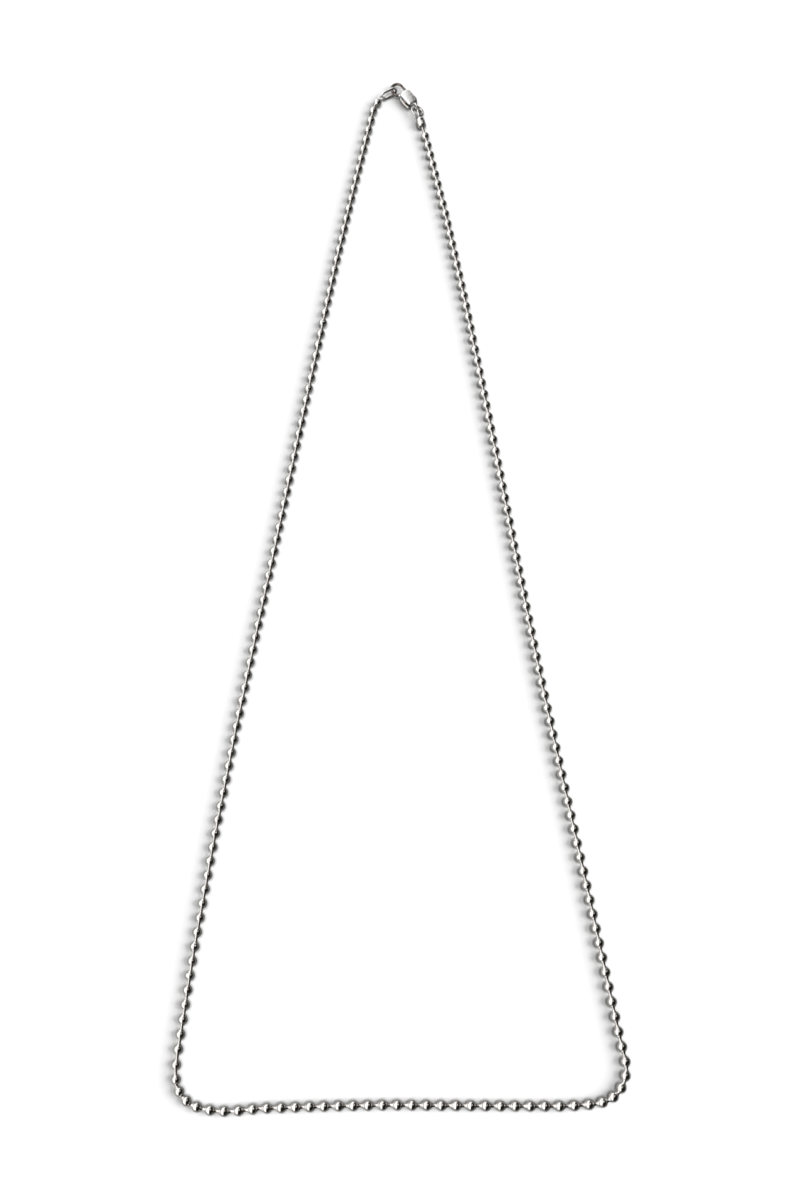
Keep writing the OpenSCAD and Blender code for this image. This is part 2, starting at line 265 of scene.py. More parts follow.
def step_at(nodes, links, value, low, high):
    """0 below low, 1 above high, and smooth between them."""
    ramp = nodes.new("ShaderNodeMapRange")
    ramp.interpolation_type = "SMOOTHSTEP"
    ramp.inputs["From Min"].default_value = low
    ramp.inputs["From Max"].default_value = high
    links.new(value, ramp.inputs["Value"])
    return ramp.outputs["Result"]


def step_down(nodes, links, value, low, high):
    """1 below low, 0 above high, and smooth between them."""
    return calculate(nodes, links, "SUBTRACT", 1.0, step_at(nodes, links, value, low, high))


# What the metals share: features to the millimetre and detail of their noises, and how hollow the mesh is
# where it starts to turn darker and rougher and where that is fullest
PATCHES = (0.9, 4.0)
SPECKS = (6.0, 5.0)
SMEARS = (2.3, 5.0)
GRAIN_STRETCH = 0.06
# The hollows of the mesh turn darker and rougher in specks: their dark tone, where it starts and is fullest,
# and how much rougher
HOLLOW_DARK = (0.12, 0.1, 0.085)
HOLLOW_DARK_BEND = (0.04, 0.3)
HOLLOW_ROUGH = 0.25


def metal(name, bright, dull, smooth, rough, wave, grain, brushed=None):
    """Metal in two tones in soft patches, darker and rougher in specks where the mesh is hollow. Wave and
    grain each give features to the millimetre and depth in millimetres, and brushed is the way that the
    grain runs."""
    material, nodes, links, shader = new_material(name)
    coords = nodes.new("ShaderNodeTexCoord")
    patches = spread(nodes, links, noise(nodes, links, coords, *PATCHES), 0.4, 0.7, 0.0, 1.0)
    specks = spread(nodes, links, noise(nodes, links, coords, *SPECKS), 0.3, 0.65, 0.45, 1.0)
    smears = spread(nodes, links, noise(nodes, links, coords, *SMEARS), 0.35, 0.7, smooth, rough)
    bend = nodes.new("ShaderNodeAttribute")
    bend.attribute_name = "bend"
    hollow = step_at(nodes, links, bend.outputs["Fac"], *HOLLOW_DARK_BEND)
    hollow_dark = calculate(nodes, links, "MULTIPLY", hollow, specks)
    tone = mixed(nodes, links, hollow_dark, mixed(nodes, links, patches, bright, dull), HOLLOW_DARK)
    links.new(tone, shader.inputs["Base Color"])
    finish = calculate(nodes, links, "MULTIPLY_ADD", hollow_dark, HOLLOW_ROUGH, smears)
    links.new(finish, shader.inputs["Roughness"])
    shader.inputs["Metallic"].default_value = 1.0
    normal = None
    grain_stretch = (1, 1, 1) if brushed is None else (GRAIN_STRETCH, 1, 1)
    for (scale, height), stretch, turn in ((wave, (1, 1, 1), 0), (grain, grain_stretch, brushed or 0)):
        bump = nodes.new("ShaderNodeBump")
        bump.inputs["Distance"].default_value = height * MM
        links.new(noise(nodes, links, coords, scale, 3.0, stretch, turn), bump.inputs["Height"])
        if normal:
            links.new(normal, bump.inputs["Normal"])
        normal = bump.outputs["Normal"]
    links.new(normal, shader.inputs["Normal"])
    return material


# Each metal: its two tones, how rough its smooth and its rough patches are, its wave and its grain
POLISHED = metal(
    "polished_metal", (0.92, 0.92, 0.91), (0.84, 0.83, 0.82), 0.035, 0.09,
    wave=(1.2, 0.004), grain=(14, 0.0006),
)
ROD_METAL = metal(
    "rod_metal", (0.82, 0.81, 0.8), (0.6, 0.57, 0.54), 0.08, 0.2,
    wave=(2.0, 0.004), grain=(16, 0.001),
)
LINK_METAL = metal(
    "link_metal", (0.97, 0.97, 0.965), (0.9, 0.895, 0.89), 0.16, 0.25,
    wave=(1.2, 0.004), grain=(14, 0.001),
)
SATIN = metal(
    "satin_metal", (0.95, 0.965, 0.98), (0.87, 0.89, 0.91), 0.2, 0.3,
    wave=(0.7, 0.003), grain=(16, 0.0018), brushed=clasp_turn,
)
# Dark metal: painted shade inside the clasp's slot and on the lever away from its thumb, and the dark tone
# of the hook
DARK_TONE_AND_SHADE = metal(
    "dark_tone_and_shade_metal", (0.3, 0.26, 0.25), (0.17, 0.14, 0.135), 0.2, 0.34,
    wave=(1.6, 0.006), grain=(12, 0.002),
)
LEVER_METAL = metal(
    "lever_metal", (0.86, 0.85, 0.84), (0.68, 0.66, 0.64), 0.08, 0.16,
    wave=(0.8, 0.002), grain=(16, 0.0005), brushed=clasp_turn,
)


FLOOR_TONE = 0.93
FLOOR_MOTTLE = 0.02
FLOOR_ROUGH = 0.9
# Contact shade, deeper on the side that the shadows fall to
CONTACT_REACH = 0.9
CONTACT_DEPTH = 1.75
CONTACT_WAY = (0.5, 0.22, 0.84)


def floor_material():
    material, nodes, links, shader = new_material("pale_floor")
    coords = nodes.new("ShaderNodeTexCoord")
    mottle = noise(nodes, links, coords, scale=0.02, detail=2.0)
    tone = mixed(nodes, links, mottle, (FLOOR_TONE,) * 3, (FLOOR_TONE - FLOOR_MOTTLE,) * 3)
    near = nodes.new("ShaderNodeAmbientOcclusion")
    near.samples = 8
    near.inputs["Distance"].default_value = CONTACT_REACH * MM
    leaning = nodes.new("ShaderNodeCombineXYZ")
    for socket, value in zip(leaning.inputs, CONTACT_WAY):
        socket.default_value = value
    links.new(leaning.outputs["Vector"], near.inputs["Normal"])
    depth = calculate(nodes, links, "POWER", near.outputs["AO"], CONTACT_DEPTH)
    shade = nodes.new("ShaderNodeVectorMath")
    shade.operation = "SCALE"
    links.new(tone, shade.inputs[0])
    links.new(depth, shade.inputs["Scale"])
    links.new(shade.outputs["Vector"], shader.inputs["Base Color"])
    shader.inputs["Roughness"].default_value = FLOOR_ROUGH
    shader.inputs["Specular IOR Level"].default_value = 0.1
    return material


# Meshes: points are in millimetres in a piece's own axes, and a matrix sets them in the row frame

STRAIGHT = 1e-9


def lathe(profile, sides, closed):
    """Points and faces of a profile of (x, r) pairs turned about X. A closed profile is a ring, an open one
    ends on the axis at both ends."""
    rings = profile if closed else profile[1:-1]
    turn = np.arange(sides) * 2 * math.pi / sides
    x = np.repeat([p[0] for p in rings], sides)
    r = np.repeat([p[1] for p in rings], sides)
    t = np.tile(turn, len(rings))
    points = np.stack([x, r * np.cos(t), r * np.sin(t)], 1)
    faces = []
    count = len(rings)
    for i in range(count if closed else count - 1):
        j = (i + 1) % count
        for s in range(sides):
            n = (s + 1) % sides
            faces.append((i * sides + s, i * sides + n, j * sides + n, j * sides + s))
    if not closed:
        ends = np.array([(profile[0][0], 0, 0), (profile[-1][0], 0, 0)])
        first, last = len(points), len(points) + 1
        points = np.concatenate([points, ends])
        for s in range(sides):
            n = (s + 1) % sides
            faces.append((first, n, s))
            faces.append((last, (count - 1) * sides + s, (count - 1) * sides + n))
    return points, faces


def tube(path, radii, sides, closed):
    """Points and faces of a round bar along a path that lies in a plane, with a radius at each point."""
    path = [Vector(p) for p in path]
    count = len(path)
    normal = Vector((0, 0, 0))
    for i in range(count - 1):
        normal += path[i].cross(path[i + 1])
    if normal.length < STRAIGHT:
        normal = Vector((0, 0, 1))
    normal.normalize()
    points = []
    for i, p in enumerate(path):
        before = path[i - 1] if i or closed else p
        after = path[(i + 1) % count] if i + 1 < count or closed else p
        side = (after - before).normalized().cross(normal)
        for s in range(sides):
            turn = 2 * math.pi * s / sides
            points.append(p + (side * math.cos(turn) + normal * math.sin(turn)) * radii[i])
    faces = []
    for i in range(count if closed else count - 1):
        j = (i + 1) % count
        for s in range(sides):
            n = (s + 1) % sides
            faces.append((i * sides + s, i * sides + n, j * sides + n, j * sides + s))
    if not closed:
        faces.append(tuple(range(sides))[::-1])
        faces.append(tuple((count - 1) * sides + s for s in range(sides)))
    return np.array([tuple(p) for p in points]), faces


def arc(x, r, radius, start, end, steps):
    """Points of an arc in a profile, its angles in degrees from the +X way."""
    return [
        (x + radius * math.cos(t), r + radius * math.sin(t))
        for t in np.radians(np.linspace(start, end, steps))
    ]


def joined(parts):
    """One set of points and faces from several."""
    points, faces, start = [], [], 0
    for p, f in parts:
        points.append(p)
        faces += [tuple(start + v for v in face) for face in f]
        start += len(p)
    return np.concatenate(points), faces


def moved(part, matrix):
    points, faces = part
    m = np.array(matrix)
    return points @ m[:3, :3].T + m[:3, 3], faces


def temporary(part):
    """An object in millimetres that a modifier works on."""
    mesh = bpy.data.meshes.new("temporary")
    mesh.from_pydata([tuple(p) for p in part[0]], [], part[1])
    thing = bpy.data.objects.new("temporary", mesh)
    bpy.context.scene.collection.objects.link(thing)
    return thing


def result_of(thing):
    """The points and faces of a temporary object with its modifiers, which then goes."""
    bpy.context.view_layer.update()
    mesh = bpy.data.meshes.new_from_object(thing.evaluated_get(bpy.context.evaluated_depsgraph_get()))
    points = np.empty(len(mesh.vertices) * 3)
    mesh.vertices.foreach_get("co", points)
    faces = [tuple(p.vertices) for p in mesh.polygons]
    bpy.data.meshes.remove(mesh)
    bpy.data.objects.remove(thing)
    return points.reshape(-1, 3), faces


def fused(part, voxel, rounds):
    """Overlapping closed forms made into one skin, with the seams between them rounded a little."""
    thing = temporary(part)
    remesh = thing.modifiers.new("fuse", "REMESH")
    remesh.mode = "VOXEL"
    remesh.voxel_size = voxel
    smooth = thing.modifiers.new("smooth", "SMOOTH")
    smooth.factor = 0.5
    smooth.iterations = rounds
    return result_of(thing)


def cut(part, cutter):
    thing, tool = temporary(part), temporary(cutter)
    boolean = thing.modifiers.new("cut", "BOOLEAN")
    boolean.operation = "DIFFERENCE"
    boolean.solver = "EXACT"
    boolean.object = tool
    points, faces = result_of(thing)
    bpy.data.objects.remove(tool)
    return points, faces


def extruded(outline, half):
    """A prism over an outline in X and Y, from -half to half in Z."""
    count = len(outline)
    points = np.array([(x, y, z) for z in (-half, half) for x, y in outline])
    faces = [(i, (i + 1) % count, count + (i + 1) % count, count + i) for i in range(count)]
    return points, faces + [tuple(range(count))[::-1], tuple(range(count, 2 * count))]


def slab(outline, half, rounding, steps=5):
    """A prism over an outline in X and Y, from -half to half in Z, its upper and lower edges rounded."""
    corners = np.array([tuple(v) for v in outline])
    ahead = np.roll(corners, -1, 0) - corners
    clockwise = (corners[:, 0] * ahead[:, 1] - corners[:, 1] * ahead[:, 0]).sum() < 0
    if clockwise:
        corners = corners[::-1]
        ahead = np.roll(corners, -1, 0) - corners
    ahead /= np.linalg.norm(ahead, axis=1)[:, None]
    out = np.stack([ahead[:, 1], -ahead[:, 0]], 1)
    before = np.roll(out, 1, 0)
    out = (out + before) / np.maximum(1 + (out * before).sum(1), 0.4)[:, None]
    levels = [
        (half - rounding * (1 - math.sin(a)), rounding * (1 - math.cos(a)))
        for a in np.linspace(0, math.pi / 2, steps)
    ]
    levels = [(-z, inset) for z, inset in levels[::-1]] + levels
    around = len(corners)
    points = np.concatenate([
        np.column_stack([corners - out * inset, np.full(around, z)]) for z, inset in levels
    ])
    faces = []
    for i in range(len(levels) - 1):
        for s in range(around):
            n = (s + 1) % around
            faces.append((i * around + s, i * around + n, (i + 1) * around + n, (i + 1) * around + s))
    faces.append(tuple(range(around))[::-1])
    faces.append(tuple((len(levels) - 1) * around + s for s in range(around)))
    return points, faces


def bend_of(mesh, points):
    """How hollow the mesh is at each point, from -1 on a sharp edge to 1 in a deep corner."""
    pairs = np.empty(len(mesh.edges) * 2, int)
    mesh.edges.foreach_get("vertices", pairs)
    pairs = pairs.reshape(-1, 2)
    normals = np.empty(len(points) * 3)
    mesh.vertices.foreach_get("normal", normals)
    normals = normals.reshape(-1, 3)
    ways = points[pairs[:, 1]] - points[pairs[:, 0]]
    ways /= np.linalg.norm(ways, axis=1)[:, None] + 1e-12
    total, count = np.zeros(len(points)), np.zeros(len(points))
    for end, sign in ((0, 1), (1, -1)):
        np.add.at(total, pairs[:, end], sign * (ways * normals[pairs[:, end]]).sum(1))
        np.add.at(count, pairs[:, end], 1)
    bend = total / np.maximum(count, 1)
    for _ in range(2):
        around, count = bend.copy(), np.ones(len(points))
        for a, b in ((0, 1), (1, 0)):
            np.add.at(around, pairs[:, a], bend[pairs[:, b]])
            np.add.at(count, pairs[:, a], 1)
        bend = around / count
    return bend


def piece(name, part, matrix, material, body, stands_for, sharp=None, others=(), which=None):
    """A finished piece: in the row frame in metres, smooth shaded, with its material and body, and the part
    that it stands for hidden. Where it has other materials, which gives each face's one from its middle, 0
    for the piece's own."""
    points, faces = moved(part, matrix)
    mesh = bpy.data.meshes.new(name)
    mesh.from_pydata([tuple(p) for p in points * MM], [], faces)
    mesh.shade_smooth()
    if sharp:
        mesh.set_sharp_from_angle(angle=math.radians(sharp))
    mesh.materials.append(material)
    for other in others:
        mesh.materials.append(other)
    if others:
        middles = np.array([part[0][list(face)].mean(0) for face in faces])
        mesh.polygons.foreach_set("material_index", which(middles).astype(np.int32))
    bend = mesh.attributes.new("bend", "FLOAT", "POINT")
    bend.data.foreach_set("value", bend_of(mesh, points))
    thing = bpy.data.objects.new(name, mesh)
    bpy.context.scene.collection.objects.link(thing)
    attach(thing, body)
    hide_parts(stands_for)


# Balls: thin shells with a rolled lip round the hole at each end and a fine seam from hole to hole, their
# skin just inside the solid's. The lip's and the groove's feet are in lip radii back from the lip, and the
# seam's side is in steps round the ball

SKIN_R = BALL_R - 0.01
SHELL = 0.25
LIP_R = 0.09
LIP_AT = 0.985
LIP_FOOT = 1.4
GROOVE = 0.02
GROOVE_FOOT = 0.9
BALL_SIDES = 30
SEAM_DEPTH = 0.025
SEAM_SIDE = 0.28
ASKEW_DEGREES = 3


def ball_profile():
    """From one lip over the outside to the other lip, and back along the inside of the shell."""
    inner_r = SKIN_R - SHELL
    foot = math.degrees(math.acos((LIP_AT - LIP_R * LIP_FOOT) / SKIN_R))
    hole = math.degrees(math.asin(HOLE_R / inner_r))
    groove_x = LIP_AT - LIP_R * GROOVE_FOOT
    lip = [(groove_x, math.sqrt(SKIN_R ** 2 - groove_x ** 2) - GROOVE)]
    lip += arc(LIP_AT, HOLE_R + LIP_R, LIP_R, 125, -90, 6)
    outside = arc(0, 0, SKIN_R, 180 - foot, foot, 13)
    within = arc(0, 0, inner_r, hole, 180 - hole, 4)
    return [(-x, r) for x, r in lip[::-1]] + outside + lip + within


def ball_part():
    """One ball about its middle, its hole along X, with the seam pressed into it along one side and the
    points on either side of the seam drawn close to it."""
    points, faces = lathe(ball_profile(), BALL_SIDES, True)
    reach = np.hypot(points[:, 0], np.hypot(points[:, 1], points[:, 2]))
    side = np.arctan2(points[:, 2], points[:, 1])
    step = 2 * math.pi / BALL_SIDES
    for target, place, depth in ((0, 0, SEAM_DEPTH), (1, SEAM_SIDE, 0), (-1, -SEAM_SIDE, 0)):
        chosen = (np.abs(side - target * step) < step / 20) & (reach > SKIN_R - GROOVE / 2)
        shift = (place - target) * step
        y, z = points[chosen, 1].copy(), points[chosen, 2].copy()
        points[chosen, 1] = y * math.cos(shift) - z * math.sin(shift)
        points[chosen, 2] = y * math.sin(shift) + z * math.cos(shift)
        points[chosen] *= 1 - depth / SKIN_R
    return points, faces


def chain_part(chosen, seed):
    """Every chosen ball, each rolled about its hole and a little askew, as the rods leave it."""
    chance = random.Random(seed)
    base = ball_part()
    parts = []
    for at, way, _ in chosen:
        askew = [math.radians(chance.uniform(-ASKEW_DEGREES, ASKEW_DEGREES)) for _ in range(2)]
        turn = Matrix.Rotation(askew[0], 4, "Z") @ Matrix.Rotation(askew[1], 4, "Y")
        turn = turn @ Matrix.Rotation(chance.uniform(0, 2 * math.pi), 4, "X")
        parts.append(moved(base, stand(at, BALL_R, way) @ turn))
    return joined(parts)


def make_balls():
    left = [ball for ball in BALLS if ball[2] < LEFT_STRETCHES]
    right = BALLS[len(left):]
    for name, node, chosen in (
        ("chain_balls_left", "balls_left", left),
        ("chain_balls_right", "balls_right", right),
    ):
        piece(name, chain_part(chosen, len(chosen)), Matrix(), POLISHED, NECKLACE, node)


# Rods: each runs from hole to hole, a little slimmer at its middle, with a head inside either ball

HOLE_X = LIP_AT + LIP_R
HEAD_R = 0.6
NECK_R = 0.52
ROD_SIDES = 18
ROD_WAIST = 0.92
LAST_ROD_HEAD = (0.6, 0.54)
LAST_ROD_IN_CAP = 1.2


def rod_profile(half):
    """Half is from the rod's middle to the hole that it enters, where it flares before its head."""
    flare = [(-0.42, ROD_R * ROD_WAIST), (-0.24, ROD_R), (-0.1, ROD_R * 1.1), (0, NECK_R), (0.3, NECK_R)]
    head = [(0.36, HEAD_R), (0.54, HEAD_R - 0.04), (0.6, 0.4), (0.62, 0)]
    outer = [(half + x, r) for x, r in flare + head]
    return [(-x, r) for x, r in outer[::-1]] + [(0, ROD_R * 0.9)] + outer


def rod_between(a, b):
    way = b - a
    middle = (a + b) / 2
    return moved(lathe(rod_profile(way.length / 2), ROD_SIDES, False), stand(middle, BALL_R, way))


def last_rod():
    """From its head in the last ball into the end cap, up to the cap's axis."""
    start = BALLS[-1][0] + last_way * HOLE_X
    rise_z = CAP_D / 2 - BALL_R
    reach = (cap_mouth - start).length
    head_in, head_r_in = LAST_ROD_HEAD
    path = [(-head_in, 0, 0), (0, 0, 0), (reach / 2, 0, rise_z / 2), (reach, 0, rise_z)]
    path.append((reach + LAST_ROD_IN_CAP, 0, rise_z))
    radii = [head_r_in, ROD_R, ROD_R * ROD_WAIST, ROD_R, ROD_R]
    return moved(tube(path, radii, ROD_SIDES, False), stand(start, BALL_R, last_way))


def make_rods():
    parts = []
    for (a, way_a, _), (b, way_b, _) in zip(BALLS, BALLS[1:]):
        parts.append(rod_between(a + way_a * HOLE_X, b - way_b * HOLE_X))
    parts.append(last_rod())
    piece("chain_rods", joined(parts), Matrix(), ROD_METAL, NECKLACE, "rods", 40)


# Wires. An oblong one's straight sides are thicker towards its slot, by this much in radius and in place,
# and the link's wire keeps just inside the solid's

WIRE_SIDES = 28
LINK_RAIL = 0.05
CAP_RAIL = 0.03
LINK_SKIN_WIRE = LINK_WIRE - 0.006
LINK_JOINT_AT = 0.3
JOINT_HALF = 0.1
JOINT_DIP = 0.015
LOOP_STEM = 1.0
LOOP_COLLAR = (0.15, 0.3)
LOOP_VOXEL = 0.025
RING_JOINT = 1.35
RING_JOINT_DIP = 0.03


def ring_part(r, wire, steps=72, sides=20):
    turns = np.linspace(0, 2 * math.pi, steps, endpoint=False)
    path = [(r * math.cos(t), r * math.sin(t), 0) for t in turns]
    return tube(path, [wire / 2] * steps, sides, True)


def upright(part):
    """A ring that lies in X and Y, stood on edge along X."""
    return moved(part, Matrix.Rotation(math.pi / 2, 4, "X"))


def make_end_loop():
    """The loop with its stem, and the collar on the stem's end that holds it in the first ball."""
    stem_to = -loop_r - LOOP_STAND - LOOP_WIRE / 2 - LOOP_STEM
    stem = tube([(-loop_r, 0, 0), (stem_to, 0, 0)], [LOOP_WIRE / 2] * 2, 20, False)
    thick, wide = LOOP_COLLAR
    collar_to = stem_to + thick
    collar = lathe([(stem_to, 0), (stem_to, wide), (collar_to, wide), (collar_to, 0)], 20, False)
    part = fused(joined([upright(ring_part(loop_r, LOOP_WIRE)), stem, collar]), LOOP_VOXEL, 4)
    place = stand(loop_at, BALL_R, first_way, LINK_LEAN)
    piece("chain_end_loop", part, place, POLISHED, NECKLACE, "end_loop")


def long_ring(r, wire, stretch, rail, joint_at=None):
    """Two half rings and two straight sides. The sides are thicker by rail, towards the slot, and one may
    have its soldered joint as a shallow dip."""
    steps = 24
    path, radii = [], []
    for sign in (1, -1):
        for t in np.linspace(-math.pi / 2, math.pi / 2, 33):
            path.append((sign * (stretch / 2 + r * math.cos(t)), sign * r * math.sin(t), 0))
            radii.append(wire / 2)
        for k in range(1, steps):
            x = stretch / 2 - stretch * k / steps
            swell = rail * math.sin(math.pi * k / steps) ** 2
            jointed = joint_at is not None and sign < 0
            dip = JOINT_DIP * math.exp(-((x - joint_at) / JOINT_HALF) ** 2) if jointed else 0
            path.append((sign * x, sign * (r - swell), 0))
            radii.append(wire / 2 + swell - dip)
    return tube(path, radii, WIRE_SIDES, True)


def make_oblong_link():
    part = long_ring(link_r, LINK_SKIN_WIRE, link_reach - 2 * link_r, LINK_RAIL, LINK_JOINT_AT)
    place = stand((hitch_at + loop_at) / 2, link_z, loop_at - hitch_at, -LINK_LEAN)
    piece("clasp_link", part, place, LINK_METAL, NECKLACE, "oblong_link")


def make_jump_ring():
    """A closed ring with a hairline where its ends meet."""
    turns = [t for t in np.linspace(0, 2 * math.pi, 96, endpoint=False) if abs(t - RING_JOINT) > 0.04]
    turns = sorted(turns + [RING_JOINT + step for step in (-0.03, -0.012, -0.007, 0.007, 0.012, 0.03)])
    path = [(ring_r * math.cos(t), ring_r * math.sin(t), 0) for t in turns]
    radii = [RING_WIRE / 2 - (RING_JOINT_DIP if abs(t - RING_JOINT) < 0.01 else 0) for t in turns]
    part = tube(path, radii, WIRE_SIDES, True)
    place = stand(ring_at, CLASP_T / 2, last_way, RING_LEAN)
    piece("clasp_ring", part, place, LINK_METAL, NECKLACE, "jump_ring", 50)


# End cap, from its mouth at 0 along X

CAP_SIDES = 96
CAP_LINE_AT = CAP_ROUND + 0.25
CAP_LINE_DEPTH = 0.025
SOLDER_SIDES = 48


def barrel_part():
    """A barrel with a rounded mouth, a fine turned line near it and a domed shoulder."""
    half = CAP_D / 2
    line = half - CAP_LINE_DEPTH
    profile = [(CAP_HOLE, 0), (CAP_HOLE, HOLE_R)]
    profile += [(0.14, HOLE_R), (0.05, HOLE_R + 0.03), (0.0, HOLE_R + 0.1)]
    profile += arc(CAP_ROUND, half - CAP_ROUND, CAP_ROUND, 180, 90, 12)
    for x, r in ((-0.05, half), (-0.02, line), (0.02, line), (0.05, half)):
        profile.append((CAP_LINE_AT + x, r))
    profile += arc(CAP_LENGTH - CAP_SHOULDER, half - CAP_SHOULDER, CAP_SHOULDER, 90, 0, 18)
    return lathe(profile + [(CAP_LENGTH, 0)], CAP_SIDES, False)


def solder_part():
    """The solder round the eye's foot, on the shoulder."""
    profile = [(CAP_LENGTH - 0.3, 0), (CAP_LENGTH - 0.3, 0.52), (CAP_LENGTH - 0.02, 0.42)]
    profile += arc(CAP_LENGTH + 0.1, 0.28, 0.1, 60, 0, 5)
    return lathe(profile + [(CAP_LENGTH + 0.2, 0)], SOLDER_SIDES, False)


def make_end_cap():
    eye = upright(long_ring(cap_eye_r, CAP_WIRE, CAP_EYE_STRETCH, CAP_RAIL))
    eye = moved(eye, Matrix.Translation((cap_eye_x + CAP_EYE_STRETCH / 2, 0, 0)))
    part = joined([barrel_part(), solder_part(), eye])
    place = stand(cap_mouth, CAP_D / 2, last_way)
    piece("chain_end_cap", part, place, POLISHED, NECKLACE, "end_cap", 50)


# Clasp, in its own axes: X towards the hook's head, Y towards the spine

PIVOT = Vector((-0.5, -0.2))
HUB_WALL = 0.35
HUB_R = PIN_R + PIN_PLAY + HUB_WALL
thumb_at = Vector((-0.6, BODY_WIDTH / 2 + 0.62))
thumb_end = thumb_at - Vector((THUMB_LENGTH / 2, THUMB_LENGTH ** 2 / 8 / THUMB_BOW))
gate_root = Vector((BODY_LENGTH / 2, GATE_Y + GATE_WIDTH / 2))
THUMB_ROOT = (-0.9, 0.6)
ROOM = 0.15
PLATE_CROWN = 0.06
LEVER_ROUND = 0.12
RIVET_PLAY = 0.008
RIVET_LOW = 0.004
RIVET_EDGE = 0.03
BODY_VOXEL = 0.045
LEVER_VOXEL = 0.028
# The hook's bar where it grows from the body: how far past the body's end, how far from its axis, and its
# radius. From HOOK_STRAIGHT on it has its own thickness
HOOK_ROOT = [(-0.9, BODY_WIDTH / 2 - 0.72, 0.6), (-0.1, 1.35, 0.55), (0.35, 1.68, 0.45)]
HOOK_STRAIGHT = 0.75
# One tone gives way to another this far within an end or edge, and the slot's painted shade starts this far
# within the walls and reaches this far into the slot's floor and roof. The eye's polish reaches this far
# from the axis
FINISH_AND_SHADE_END = 0.02
SHADE_WALL = 0.12
SHADE_SLOT = 0.04
EYE_REACH = 0.9
CLASP = stand(clasp_at, CLASP_T / 2, along(clasp_turn))


def opened(p):
    """Where a point of the lever is with the gate open."""
    way = along(LEVER_OPEN)
    q = Vector(p) - PIVOT
    return PIVOT + way * q.x + left_of(way) * q.y


def circle(at, r, steps=40):
    turns = np.arange(steps) * 2 * math.pi / steps
    return [(at[0] + r * math.cos(t), at[1] + r * math.sin(t)) for t in turns]


def rounded_rectangle(half_x, half_y, corner, steps=10):
    x, y = half_x - corner, half_y - corner
    outline = []
    for quarter, (sx, sy) in enumerate(((1, 1), (-1, 1), (-1, -1), (1, -1))):
        for t in np.linspace(0, math.pi / 2, steps) + math.pi / 2 * quarter:
            outline.append((sx * x + corner * math.cos(t), sy * y + corner * math.sin(t)))
    return outline


def hook_part():
    """The hook's bar: out of the body, along its spine and round its head to the tip."""
    path = [(BODY_LENGTH / 2 + x, y, 0) for x, y, _ in HOOK_ROOT]
    radii = [r for _, _, r in HOOK_ROOT]
    for x in np.linspace(BODY_LENGTH / 2 + HOOK_STRAIGHT, head_x, 6):
        path.append((x, spine_y, 0))
        radii.append(HOOK_BAR / 2)
    for t in np.radians(np.linspace(80, -90, 32)):
        path.append((head_x + head_r * math.cos(t), head_y + head_r * math.sin(t), 0))
        radii.append(HOOK_BAR / 2)
    return tube(path, radii, 32, False)


def shell_finish_and_shade(middles):
    """The hook is dark, the inside of the slot is dark with painted shade, and the eye is polished; the rest
    of the body is satin.
    """
    x, y, z = middles.T
    end_x = BODY_LENGTH / 2 - FINISH_AND_SHADE_END
    hook = x > end_x
    eye = (x < -end_x) & (np.hypot(y, z) < EYE_REACH)
    within = (np.abs(x) < BODY_LENGTH / 2 - SHADE_WALL) & (np.abs(y) < BODY_WIDTH / 2 - SHADE_WALL)
    slot = within & (np.abs(z) < LEVER_T / 2 + LEVER_PLAY + SHADE_SLOT)
    return (hook | slot) * 1 + eye * 2


def body_rooms():
    """Outlines of the slot's rooms for the hub, the gate and the thumb's arm, at rest and open."""
    front, side = BODY_LENGTH / 2 + 1, BODY_WIDTH / 2 + 1
    rear_x = opened((THUMB_ROOT[0], thumb_at.y)).x - ROOM
    rear_y = opened(thumb_end).y - THUMB_WIDTH / 2 - ROOM
    over_hub = opened(PIVOT + Vector((0, HUB_R))) + Vector((0, ROOM))
    over_gate = opened(gate_root) + Vector((0, ROOM))
    gate_room = [
        (PIVOT.x, PIVOT.y - HUB_R), (1, -side), (front, -side), (front, over_gate.y), tuple(over_gate),
        tuple(over_hub),
    ]
    arm_room = [
        (1, 0), (1, side), (-front, side), (-front, rear_y), (rear_x, rear_y), (rear_x, PIVOT.y),
        tuple(PIVOT),
    ]
    return circle(PIVOT, HUB_R + ROOM), gate_room, arm_room


def make_clasp_body():
    """The body with its slot, hook and eye in one, its plates a little crowned, and the pin's hole."""
    half_x, half_y = BODY_LENGTH / 2, BODY_WIDTH / 2
    body = slab(rounded_rectangle(half_x, half_y, BODY_CORNER), CLASP_T / 2, BODY_ROUND, 9)
    for outline in body_rooms():
        body = cut(body, extruded(outline, LEVER_T / 2 + LEVER_PLAY))
    eye = moved(upright(ring_part(clasp_eye_r, EYE_WIRE, sides=24)), Matrix.Translation((eye_x, 0, 0)))
    points, faces = fused(joined([body, hook_part(), eye]), BODY_VOXEL, 4)
    x, y, z = points.T
    plate = (np.abs(z) > CLASP_T / 2 - BODY_ROUND) & (np.abs(x) < half_x)
    fall = PLATE_CROWN * ((x / half_x) ** 2 + (y / half_y) ** 2)
    points[plate, 2] -= (np.sign(z) * fall)[plate]
    part = cut((points, faces), extruded(circle(PIVOT, PIN_R + RIVET_PLAY, 64), CLASP_T))
    # The dark metal paints shade inside the slot and darkens the hook; the eye is polished
    finishes_and_shade = (DARK_TONE_AND_SHADE, POLISHED)
    piece("clasp_shell", part, CLASP, SATIN, NECKLACE, "clasp_body", 45, finishes_and_shade, shell_finish_and_shade)


